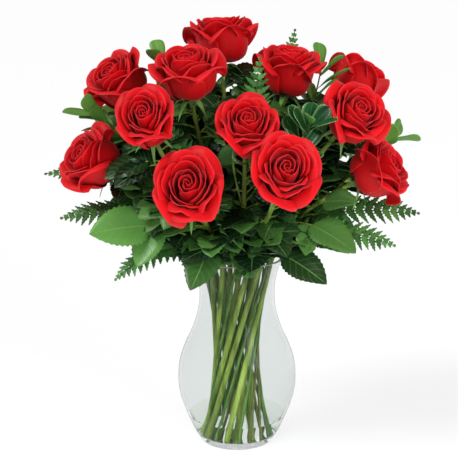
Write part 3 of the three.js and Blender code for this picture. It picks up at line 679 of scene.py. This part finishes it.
def quadratic(start, middle, end):
    """A quadratic curve's control points, written as a cubic's."""
    start, middle, end = (np.array(p, float) for p in (start, middle, end))
    return start, start + (middle - start) * 2 / 3, end + (middle - end) * 2 / 3, end


def rose_outline(v, u):
    """The half-width of a rose leaflet along its midrib: egg-shaped, with a toothed edge."""
    plain = 2.5 * np.clip(v, 0, 1) ** 0.54 * np.clip(1 - v, 0, 1) ** 0.84
    teeth = 1 + TOOTH_DEPTH * ((v * TEETH) % 1 - 0.3) * (np.abs(u) > 0.9)
    return plain * teeth


def sepal_outline(v, u):
    """The half-width of a sepal: widest a little above its foot, drawn out to a point."""
    return np.clip(0.75 + 1.1 * v, 0, 1) * np.clip(1 - v, 0, 1) ** 0.7 + 0.02


def pale_line(tree, away, line, pale):
    """How pale a vein is: pale along its middle, and fading to nothing at its edge."""
    fading = {"Value": away, "From Min": line[0], "From Max": line[1], "To Min": pale, "To Max": 0.0}
    return add_node(tree, "MapRange", fading)["Result"]


def leaf_green(name, dark, light, vein, roughness, ribs):
    """A leaf's green: from dark to light by the leaf, with a pale midrib and side veins off it."""
    material, tree, shader = new_material(name, roughness)
    tone = add_node(tree, "Attribute", {}, attribute_name="tone")["Fac"]
    body = mixed_colour(tree, tone, linear(dark), linear(light))
    place = add_node(tree, "SeparateXYZ", {"Vector": add_node(tree, "UVMap", {})["UV"]})
    away = reckoned(tree, "ABSOLUTE", reckoned(tree, "SUBTRACT", place["X"], 0.5))
    midrib = pale_line(tree, away, MIDRIB_LINE, MIDRIB_PALE)
    slant = reckoned(tree, "MULTIPLY_ADD", away, -VEIN_SLANT, place["Y"])
    row = reckoned(tree, "PINGPONG", slant, 0.5 / ribs)
    side_vein = pale_line(tree, row, (0.0, VEIN_WIDTH / ribs), VEIN_PALE)
    veins = reckoned(tree, "MAXIMUM", midrib, side_vein)
    veined = mixed_colour(tree, veins, body, linear(vein))
    set_inputs(shader, {"Base Color": veined, "Normal": relief(tree, veins, RIB_RELIEF, sunk=True)})
    return material


def leaf(flat, points, tone):
    """A leaf shaped from its blank, and marked with its tone, from 0 for the darkest to 1."""
    piece = shaped(flat, points)
    mark = piece.data.attributes.new("tone", "FLOAT", "POINT")
    mark.data.foreach_set("value", np.full(len(points), tone, np.float32))
    return piece


def stem_green(name, low, high, roughness):
    """A stem's green, running from one shade to another in long soft streaks."""
    material, tree, shader = new_material(name, roughness)
    streaks = soft_noise(tree, add_node(tree, "TexCoord", {})["Object"], STEM_STREAKS, 3)
    shade = shades(tree, streaks, [(0.3, low), (0.7, high)])
    set_inputs(shader, {"Base Color": shade, "Specular IOR Level": 0.2})
    return material


cane_green = stem_green("cane_green", (56, 86, 16), (148, 172, 80), 0.42)
sepal_green = stem_green("sepal_green", (84, 128, 56), (130, 166, 92), 0.6)
rose_leaf_top = leaf_green("rose_leaf_top", (3, 36, 16), (94, 150, 68), (124, 174, 96), 0.36, 7)
rose_leaf_back = leaf_green("rose_leaf_back", (66, 108, 62), (120, 158, 108), (150, 180, 130), 0.6, 7)
shown_leaflet = blank("leaflet", 4, 24, rose_leaf_top, rose_leaf_back)
small_leaflet = blank("small_leaflet", 2, 18, rose_leaf_top, rose_leaf_back)
sepal_blank = blank("sepal", 2, 8, sepal_green)

head_spots = [(np.array(rose.middle), HEAD_REACH * sum(rose.size) / 3) for rose in ROSES]
canes = []
for number, rose in enumerate(ROSES, 1):
    head_foot, faces, _ = head_place(rose)
    end = head_foot - faces * HIP_LENGTH * CANE_INTO_HIP * rose.size[2]
    node = f"rose_stem_{number:02d}"
    canes.append(lay_cane(node, rose.ring, rose.place, ROSE_CANE, ROSE_STEPS, end, faces))
shown_spots = []
for number in SHOWN_STEMS:
    shown_spots += [canes[number - 1].at(t) for t in SHOWN_PART]
    shown_spots += [canes[number - 1].at(1) - UP * drop for drop in SEPAL_DROPS]


def off_the_heads(points):
    """True where no point of a leaf is inside a rose head."""
    return not any((np.linalg.norm(points - head, axis=1) < reach).any() for head, reach in head_spots)


def hides_a_stem(points):
    """True where a leaf lies in front of an upper stem that shows, as the camera sees it."""
    aside, ahead, above = np.moveaxis(np.array(shown_spots)[:, None] - points, 2, 0)
    above = above + VIEW_SLOPE * ahead
    return ((ahead > IN_FRONT) & (abs(aside) < STEM_CLEAR) & (abs(above) < STEM_CLEAR)).any()


def is_clear(points, dome=DOME):
    """True where a leaf is off the heads, the shown stems and the vase, and within the dome."""
    if not off_the_heads(points) or hides_a_stem(points):
        return False
    if ((points[:, 2] < LEAVES_FROM) & (np.hypot(points[:, 0], points[:, 1]) < ROUND_VASE)).any():
        return False
    return (np.linalg.norm((points - (0, 0, DOME_HEIGHT)) / dome, axis=1) < 1).all()


def leaf_bow(start, end, rise, aside):
    """The line of a leaf from its stem to its tip, bowed up by a rise and to a side."""
    return quadratic(start, start.lerp(end, 0.5) + UP * rise + aside, end)


def rose_leaf(start, end, rise, aside, face, width, tone, chance, packed):
    """A rose's leaf: a thin stalk with one leaflet at its end and a pair behind it, if they are clear."""
    face = Vector(face).normalized()
    whole = leaf_bow(start, end, rise, aside)
    base = max(0.3, 1 - LEAFLET_SHAPE * width / (end - start).length)
    last_part = [Vector(bezier(whole, t)) for t in (base, (1 + base) / 2, 1)]
    ribs = [(quadratic(*last_part), width / 2, tone)]
    stalk = [Vector(p) for p in bezier(whole, np.linspace(0, base + 0.04, 7))]
    along = (stalk[-1] - stalk[-3]).normalized()
    side = along.cross(face).normalized()
    root = stalk[-2]
    for hand in (-1, 1):
        reach = width * chance.uniform(*PAIR_REACHES)
        tip = root + (side * hand + along * PAIR_AHEAD).normalized() * reach - UP * PAIR_BOW * reach
        rib = quadratic(root, root.lerp(tip, 0.5) + face * PAIR_BOW * reach, tip)
        ribs.append((rib, width * PAIR_WIDTH, tone * PAIR_TONE))
    leaflet = shown_leaflet if packed else small_leaflet
    parts = []
    for rib, half, shade in ribs:
        points = leaf_points(leaflet, rib, face, half, rose_outline, chance)
        if (packed and not parts) or is_clear(points):
            parts.append(leaf(leaflet, points, shade))
        elif not parts:
            return None, []
    return stalk, parts


def packed_leaf(start, tip, width, outside):
    """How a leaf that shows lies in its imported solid: its end, its rise, its way aside and its width."""
    ways = []
    for size in LEAF_SIZES:
        for leaf_turn in LEAF_TURNS:
            end = start.lerp(Vector(tip), size)
            rise = (end - start).length * LEAF_RISE
            aside = (end - start).cross(UP).normalized() * rise * sin(radians(leaf_turn))
            rib = bezier(leaf_bow(start, end, rise, aside), LEAF_TESTS)
            ways.append((sum(abs(outside(p)) for p in rib), end, rise, aside, width * size))
    return min(ways, key=lambda way: way[0])[1:]


def filling_leaf(cane, upper, chance):
    """A small leaf that fills the bunch, tried a little shorter each time until it is clear."""
    start = cane.at(chance.uniform(*(UPPER_PART if upper else LOWER_PART)))
    for attempt in range(TRIES):
        bearing = atan2(start.y, start.x) + radians(chance.uniform(-SMALL_TURN, SMALL_TURN))
        length = chance.uniform(*SMALL_LENGTHS) * (UPPER_LENGTH if upper else 1)
        length *= 1 - TRIED_SHORTER * attempt / TRIES
        out = Vector((cos(bearing), sin(bearing), chance.uniform(*SMALL_CLIMBS))).normalized()
        face = (out.x * 0.4 + chance.uniform(-0.4, 0.4), out.y * 0.4 + chance.uniform(-0.9, 0.1), 1)
        tone = chance.uniform(0, 1) ** 3
        end, rise, width = start + out * length, SMALL_RISE * length, SMALL_WIDTH * length
        stalk, parts = rose_leaf(start, end, rise, Vector(), face, width, tone, chance, False)
        if parts:
            break
    return stalk, parts


def sepal_spine(sepal, rose, rows, head_foot, chance):
    """The midrib of one sepal, out from under the head and hanging the more the further out."""
    bearing = radians((sepal + 0.5) * 360 / SEPALS + rose.turn)
    out = np.array((cos(bearing), sin(bearing), 0))
    droop = chance.uniform(*SEPAL_DROOPS) * SEPAL_DROOP
    spine = [out * far + (0, 0, high - share * droop) for far, high, share in SEPAL_SPINE]
    return [rows @ p + np.array(head_foot) - (0, 0, SEPAL_HANG * i * i) for i, p in enumerate(spine)]


def leafy_stem(name, tubes, blades, thickness, node):
    """A stem and its leaves made one piece, the leaves given their thickness first."""
    leaves = thickened(name, blades, thickness, 1)
    piece = join(name, tubes + [leaves])
    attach(piece, "root")
    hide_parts(node)


for number, (rose, cane) in enumerate(zip(ROSES, canes), 1):
    head_foot, faces, turn = head_place(rose)
    node = f"rose_stem_{number:02d}"
    chance = np.random.default_rng(100 + number)
    spots = cane.spots()
    radii = [ROSE_CANE * (1 - CANE_THINS * i) for i in range(len(spots))]
    tubes = [drawn_tube("cane", spots, radii, cane_green)]
    rows = np.array(turn.to_matrix()) @ np.diag(rose.size)
    hip = [Vector(rows @ np.array((0, 0, high))) + head_foot for high, _ in HIP]
    tubes.append(drawn_tube("hip", hip, [radius for _, radius in HIP], sepal_green, 4))
    blades = []
    for sepal in range(SEPALS):
        spine = sepal_spine(sepal, rose, rows, head_foot, chance)
        half = SEPAL_HALF * rose.size[2]
        points = leaf_points(sepal_blank, spine, faces, half, sepal_outline, chance, SEPAL_FOLD)
        blades.append(leaf(sepal_blank, points, 0.5))
    outside = outside_of(node)
    for owner, at, tip, width, face, tone in ROSE_LEAVES:
        if owner == number:
            start = cane.at(at)
            end, rise, aside, width = packed_leaf(start, tip, width, outside)
            stalk, parts = rose_leaf(start, end, rise, aside, face, width, tone, chance, True)
            tubes.append(drawn_tube("stalk", stalk, [PACKED_STALK] * len(stalk), cane_green, 1))
            blades += parts
    uppers = UPPER_ON_SHOWN if number in SHOWN_STEMS else UPPER_LEAVES
    for filling in range(LOWER_LEAVES + uppers):
        stalk, parts = filling_leaf(cane, filling >= LOWER_LEAVES, chance)
        if parts:
            tubes.append(drawn_tube("stalk", stalk, [SMALL_STALK] * len(stalk), cane_green, 1))
            blades += parts
    leafy_stem(f"rose_stem_leaves_{number:02d}", tubes, blades, LEAF_THICK, node)
for flat in (shown_leaflet, small_leaflet, sepal_blank):
    bpy.data.objects.remove(flat.piece)

# --------------------
# The pittosporum twigs: thin woody twigs with smooth blunt leaves crowded in a whorl towards the
# tip. The leaves are leathery, pale along the midrib, and one twig has dark leaves with a painted sheen
# along their edges.

# Where the tip is, the way it grows, and its ring and place in the vase.
PITTOSPORUM = [
    ((-90, 35, 472), (-0.2, 0, 1), "middle", 1), ((-166, 5, 412), (-0.8, 0, 0.6), "middle", 3),
    ((190, 32, 380), (0.9, 0.2, 0.5), "outer", 15), ((84, -78, 415), (0.2, -0.6, 0.8), "middle", 6),
    ((104, 55, 462), (0.2, 0.1, 1), "middle", 7), ((-45, 120, 435), (-0.2, 0.6, 0.9), "middle", 0),
    ((-140, 100, 385), (-0.7, 0.6, 0.5), "outer", 2), ((100, 125, 390), (0.5, 0.8, 0.6), "outer", 16),
]
GREEN_CANE, GREEN_STEPS, TWIG_THINS = 1.9, 5, 0.02
# The size of a leaf in the solids, how its length varies there, and how much shorter it is drawn.
BLUNT_LENGTH, BLUNT_WIDTH, BLUNT_THICK = 45.0, 22.0, 0.5
LENGTH_FROM, LENGTH_VARIES, SHORTER = 0.85, 0.3, 0.98
BLUNT_TESTS = np.array((0.45, 0.8, 1.0))
# How far a leaf opens from the twig, how much more the lowest do, its arch and its fold.
OPENS, OPENS_MORE, ARCH, BLUNT_FOLD = 0.45, 0.45, 0.09, 0.18
# The leaves of the solids and the further ones: where on the bow they start and how far down they go.
PACKED_LEAVES, PACKED_FROM, PACKED_DOWN = 5, 0.995, 0.3
MORE_LEAVES, MORE_FROM, MORE_DOWN = 16, 0.99, 0.4
MORE_TURN, MORE_LENGTHS, MORE_WIDTH = 60, (0.6, 1.0), 0.46
TWIG_END = 0.985
TWIG_DOME = (222, 158, 186)
# The twig whose leaves have a painted sheen along their edges, how much larger its further leaves are, and
# the colour and width of that painted sheen.
SHEEN_EDGED_TWIG, SHEEN_TWIG_LARGER, PAINTED_SHEEN_EDGE, PAINTED_SHEEN_WIDTH = 4, 1.3, (118, 162, 102), 0.17
# How much closer together the points of a leaf lie at its round tip.
TIP_FINER = 1.6


def scatter(a, b):
    """A number from 0 to 1 that looks like chance and is the same each time."""
    return (sin(a * 12.9898 + b * 78.233) * 43758.5453) % 1


def blunt_outline(v, u):
    """The half-width of a pittosporum leaf: a narrow foot, and widest near its round tip."""
    return np.clip(1.3 * v ** 0.8 * np.clip(1 - v ** 4, 0, 1) ** 0.5, 0.04, 1)


twig_bark = stem_green("twig_bark", (70, 82, 38), (104, 112, 60), 0.6)
blunt_top = leaf_green("pittosporum_top", (34, 84, 30), (112, 164, 66), (136, 182, 96), 0.34, 9)
blunt_back = leaf_green("pittosporum_back", (70, 128, 48), (104, 160, 66), (140, 182, 102), 0.5, 9)
sheen_edged_top = leaf_green("pittosporum_painted_sheen_edged", (4, 52, 22), (26, 92, 40), (74, 134, 70), 0.24, 9)
# The pale band laid over these leaves' green along their edges is a painted sheen, the gloss of the leaf
# painted in.
edge_tree = sheen_edged_top.node_tree
leaf_colour = edge_tree.nodes["Principled BSDF"].inputs["Base Color"]
inner_colour = leaf_colour.links[0].from_socket
across_leaf = add_node(edge_tree, "SeparateXYZ", {"Vector": add_node(edge_tree, "UVMap", {})["UV"]})["X"]
from_edge = reckoned(edge_tree, "PINGPONG", across_leaf, 0.5)
inwards = add_node(edge_tree, "MapRange", {"Value": from_edge, "From Max": PAINTED_SHEEN_WIDTH})["Result"]
edge_tree.links.new(mixed_colour(edge_tree, inwards, linear(PAINTED_SHEEN_EDGE), inner_colour), leaf_colour)


def blunt_rib(cane, share, bearing, length, at):
    """The midrib of one leaf, standing off the twig at a bearing round it, opening by its share."""
    along = cane.along(TWIG_END)
    across = along.cross(Vector((1, 0, 0)) if abs(along.z) > 0.9 else UP).normalized()
    across.rotate(Quaternion(along, bearing))
    start = cane.at(at)
    opening = OPENS + OPENS_MORE * share
    off = (along * (1 - opening * 0.6) + across * opening).normalized()
    return quadratic(start, start + off * length / 2 + along * length * ARCH, start + off * length)


def packed_blunt_leaf(cane, number, index, outside):
    """How one of a twig's packed leaves lies in its solid: its midrib and its size."""
    share = index / (PACKED_LEAVES - 1)
    at = PACKED_FROM - PACKED_DOWN * share * share
    ways = []
    for size in LEAF_SIZES:
        for leaf_turn in LEAF_TURNS:
            bearing = radians(GOLDEN_TURN * index + 90 * scatter(number - 1, 1) + leaf_turn)
            length = BLUNT_LENGTH * size * (LENGTH_FROM + LENGTH_VARIES * scatter(number - 1, index))
            rib = bezier(blunt_rib(cane, share, bearing, length, at), BLUNT_TESTS)
            ways.append((sum(abs(outside(p)) for p in rib), bearing, length * SHORTER, size))
    _, bearing, length, size = min(ways)
    return blunt_rib(cane, share, bearing, length, at), size


blunt_blank = blank("blunt_leaf", 4, 12, blunt_top, blunt_back)
sheen_edged_blank = blank("sheen_edged_leaf", 4, 12, sheen_edged_top, blunt_back)
blunt_v = 1 - (1 - np.clip(blunt_blank.v, 0, 1)) ** TIP_FINER
for number, (tip, grows, ring, place) in enumerate(PITTOSPORUM, 1):
    node = f"pittosporum_{number:02d}"
    way = Vector(grows).normalized()
    cane = lay_cane(node, ring, place, GREEN_CANE, GREEN_STEPS, Vector(tip), way)
    chance = np.random.default_rng(200 + number)
    outside = outside_of(node)
    spots = cane.spots()
    radii = [GREEN_CANE * (1 - TWIG_THINS * i) for i in range(len(spots))]
    tubes = [drawn_tube("twig", spots, radii, twig_bark)]
    flat = (sheen_edged_blank if number == SHEEN_EDGED_TWIG else blunt_blank)._replace(v=blunt_v)
    facing = cane.along(TWIG_END)
    blades = []
    for index in range(PACKED_LEAVES):
        rib, size = packed_blunt_leaf(cane, number, index, outside)
        half = BLUNT_WIDTH / 2 * size
        points = leaf_points(flat, rib, facing, half, blunt_outline, chance, BLUNT_FOLD)
        blades.append(leaf(flat, points, chance.uniform(0.4, 1.0)))
    larger = SHEEN_TWIG_LARGER if number == SHEEN_EDGED_TWIG else 1
    half = BLUNT_WIDTH * MORE_WIDTH * larger
    for index in range(MORE_LEAVES):
        share = (index + 0.5) / MORE_LEAVES
        bearing = radians(GOLDEN_TURN * index + MORE_TURN)
        length = BLUNT_LENGTH * chance.uniform(*MORE_LENGTHS) * larger
        rib = blunt_rib(cane, share, bearing, length, MORE_FROM - MORE_DOWN * share)
        points = leaf_points(flat, rib, facing, half, blunt_outline, chance, BLUNT_FOLD)
        if is_clear(points, TWIG_DOME):
            blades.append(leaf(flat, points, chance.uniform(0.1, 0.9)))
    leafy_stem(f"pittosporum_twig_{number:02d}", tubes, blades, BLUNT_THICK, node)
for flat in (blunt_blank, sheen_edged_blank):
    bpy.data.objects.remove(flat.piece)

# --------------------
# The ferns: each frond is a flat triangle of cut leaflets on one wiry rib, leathery and dark
# green, smaller towards the tip, and drooping a little to both sides.

# Where the tip is, the way it grows there, the way its face looks, how long the blade is, its
# half-width, and its ring and place in the vase.
FERNS = [
    ((74, 92, 514), (0.2, 0.1, 1), (0, -1, 0.2), 120, 26, "inner", 4),
    ((27, -22, 490), (0.15, 0, 1), (0, -1, 0.2), 130, 30, "inner", 3),
    ((-236, -15, 345), (-1, 0, -0.15), (-0.1, -0.6, 1), 130, 32, "outer", 3),
    ((-212, -62, 300), (-1, -0.2, -0.25), (-0.2, -0.7, 1), 130, 38, "outer", 4),
    ((-145, -95, 232), (-0.7, -0.3, -0.8), (-0.5, -0.8, 0.6), 120, 32, "outer", 6),
    ((224, -20, 297), (1, -0.1, -0.2), (0.1, -0.8, 1), 130, 38, "outer", 14),
    ((188, -78, 270), (0.9, -0.3, -0.35), (0.1, -0.9, 0.8), 120, 34, "outer", 12),
    ((-80, -78, 418), (-0.5, -0.2, 1), (-0.2, -1, 0.3), 120, 30, "middle", 4),
    ((15, -100, 238), (0.1, -0.8, -0.6), (0, -0.9, 0.7), 80, 34, "outer", 9),
    ((15, 145, 465), (0.1, 0.5, 1), (0, 1, 0.3), 140, 36, "inner", 0),
    ((125, 165, 290), (0.6, 0.8, -0.2), (0.3, 0.3, 1), 140, 38, "outer", 0),
    ((-100, 165, 300), (-0.5, 0.9, -0.1), (-0.3, 0.3, 1), 140, 38, "outer", 1),
]
PACKED_PAIRS, PINNA_PAIRS = 6, 14
# How the pinnae close up to the tip, how long the last are, and the sizes they may have or be cut to.
CLOSING, PACKED_TIP, SHOWN_TIP = 1.3, 0.12, 0.03
PINNA_SIZES, PINNA_CUTS = (1, 0.75, 0.5, 0.25), (1, 0.7, 0.45, 0.25)
# How near its solid a pinna has to lie, its size where it doesn't, and the least one drawn.
PINNA_NEAR, PINNA_MISSED, PINNA_LEAST = 4, 0.2, 0.7
LOBE_STEP, PINNA_WIDTH, PINNA_FOLD, PINNA_THICK = 3.4, 0.8, 0.05, 0.4
FROND_DROOP = 0.15
# The rib: its steps and its end, where and how slowly it thins, and how thin it may get.
RIB_STEPS, RIB_END, RIB_THINS_FROM, RIB_THINS_OVER, RIB_THIN = 24, 0.99, 12, 26, 0.5


def lobed(lobes):
    """The outline of one pinna: cut almost to its rib into blunt lobes, so many to a side."""
    def outline(v, u):
        cuts = 0.6 + 0.4 * ((v * lobes) % 1)
        return cuts * np.clip(1.03 - v, 0, 1) ** 0.85 * np.clip(v * 5 + 0.35, 0, 1)

    return outline


class Frond:
    """The blade of a fern: flat to the way it faces, from its start on the cane to the tip."""

    def __init__(self, cane, blade, half, face):
        self.cane, self.half, self.facing = cane, half, Vector(face).normalized()
        self.start = blade_start(cane, blade)
        self.length = (1 - self.start) * cane.length()

    def point(self, t, forward, out):
        """A place on the frond: at t along its rib, so far forwards and so far out to a side."""
        at = self.start + (1 - self.start) * t
        along = self.cane.along(at)
        across = along.cross(self.facing).normalized()
        up = across.cross(along)
        return self.cane.at(at) + along * forward + across * out - up * FROND_DROOP * abs(out)

    def reach(self, t, size, last):
        """How far a pinna stands out from the rib, the last ones by so small a share."""
        return self.half * size * min(1, 3.4 * (1 - t) + last) * (0.62 + 0.38 * (1 - t))

    def packed_size(self, pair, hand, outside):
        """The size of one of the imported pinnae, as its solid has it."""
        t, step = pair / PACKED_PAIRS, self.length / PACKED_PAIRS
        ways = []
        for size in PINNA_SIZES:
            reach = self.reach(t, size, PACKED_TIP)
            ways.append((abs(outside(self.point(t, 0.55 * reach + 0.3 * step, hand * reach))), size))
        misfit, size = min(ways)
        return size if misfit < PINNA_NEAR else PINNA_MISSED

    def pinna_rib(self, t, reach, hand):
        """The rib of one pinna, bowed towards the tip of the frond."""
        root, far = self.point(t, 0, 0), self.point(t, 0.66 * reach, hand * reach)
        return quadratic(root, self.point(t, 0.28 * reach, hand * reach * 0.5), far)


fern_green = leaf_green("fern_green", (12, 62, 24), (88, 148, 70), (100, 158, 88), 0.42, 6)
fern_back = leaf_green("fern_back", (34, 90, 40), (86, 144, 72), (100, 150, 84), 0.6, 6)
fern_rib = stem_green("fern_rib", (44, 84, 32), (92, 128, 58), 0.5)
pinna_blank = blank("pinna", 2, 24, fern_green, fern_back)
for number, (tip, grows, face, blade, half, ring, place) in enumerate(FERNS, 1):
    node = f"fern_{number:02d}"
    way = Vector(grows).normalized()
    cane = lay_cane(node, ring, place, GREEN_CANE, GREEN_STEPS, Vector(tip), way, blade)
    frond = Frond(cane, blade, half, face)
    chance = np.random.default_rng(300 + number)
    outside = outside_of(node)
    spots = cane.spots(RIB_STEPS, RIB_END)
    thinning = [max(0, i - RIB_THINS_FROM) / RIB_THINS_OVER for i in range(len(spots))]
    radii = [max(RIB_THIN, GREEN_CANE * (1 - thinned)) for thinned in thinning]
    tubes = [drawn_tube("rib", spots, radii, fern_rib, 2)]
    pairs = [(pair, hand) for pair in range(PACKED_PAIRS) for hand in (-1, 1)]
    sizes = {(pair, hand): frond.packed_size(pair, hand, outside) for pair, hand in pairs}
    blades = []
    for pair in range(PINNA_PAIRS):
        t, after = (1 - (1 - step / PINNA_PAIRS) ** CLOSING for step in (pair, pair + 1))
        wide = frond.length * (after - t) * PINNA_WIDTH
        for hand in (-1, 1):
            full = max(PINNA_LEAST, sizes[int(t * PACKED_PAIRS), hand]) * chance.uniform(0.9, 1.0)
            for share in PINNA_CUTS:
                reach = frond.reach(t, full * share, SHOWN_TIP)
                rib = frond.pinna_rib(t, reach, hand)
                outline = lobed(max(2, round(reach / LOBE_STEP)))
                points = leaf_points(pinna_blank, rib, frond.facing, wide, outline, chance, PINNA_FOLD)
                if off_the_heads(points):
                    break
            blades.append(leaf(pinna_blank, points, chance.uniform(0.2, 1.0)))
    leafy_stem(f"fern_frond_{number:02d}", tubes, blades, PINNA_THICK, node)
bpy.data.objects.remove(pinna_blank.piece)

low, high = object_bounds()
size = {"cad": [list(cad_low), list(cad_high)], "shown": [list(low), list(high)]}
